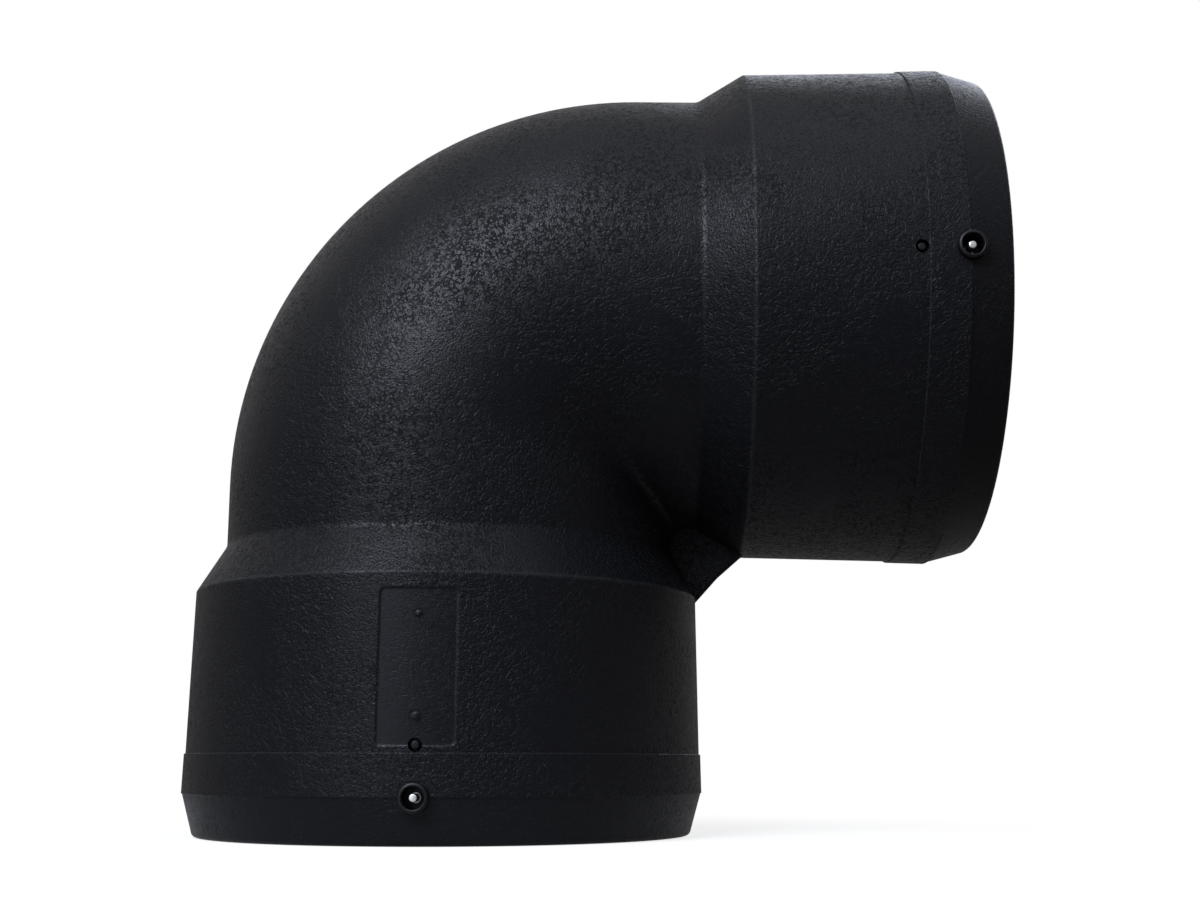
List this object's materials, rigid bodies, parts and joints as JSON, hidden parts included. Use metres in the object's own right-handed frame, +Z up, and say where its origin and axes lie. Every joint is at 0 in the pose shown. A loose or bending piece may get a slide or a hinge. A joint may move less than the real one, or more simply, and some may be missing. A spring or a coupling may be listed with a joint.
{
  "type": "electrofusion elbow",
  "caption": "Black 90 degree electrofusion elbow with two banded pipe sockets, heating coils, shrouded contact pins and fusion indicators.",
  "frame": {"origin": "centre of the lower socket's mouth, where its bore begins, on the plane that the elbow stands on", "axes": "+Z up the lower socket's axis, into the socket; +X towards the side socket's mouth, whose axis is parallel to X at z = 0.2907; -Y is the side with the fusion indicators and the marking field"},
  "size_m": [0.4307, 0.2864, 0.4307],
  "materials": {
    "pebbled_polyethylene": "moulded black polyethylene with a fine leathery grain",
    "smooth_polyethylene": "smooth moulded black polyethylene",
    "heating_wire": "drawn copper-alloy resistance wire",
    "plated_brass": "turned brass, tin-plated"
  },
  "bodies": {
    "root": {"elbow_body": "pebbled_polyethylene", "lower_heating_coil": "heating_wire", "lower_front_terminal_shroud": "smooth_polyethylene", "lower_front_terminal_pin": "plated_brass", "lower_back_terminal_shroud": "smooth_polyethylene", "lower_back_terminal_pin": "plated_brass", "lower_fusion_indicator": "smooth_polyethylene", "side_heating_coil": "heating_wire", "side_front_terminal_shroud": "smooth_polyethylene", "side_front_terminal_pin": "plated_brass", "side_back_terminal_shroud": "smooth_polyethylene", "side_back_terminal_pin": "plated_brass", "side_fusion_indicator": "smooth_polyethylene"}
  },
  "joints": []
}
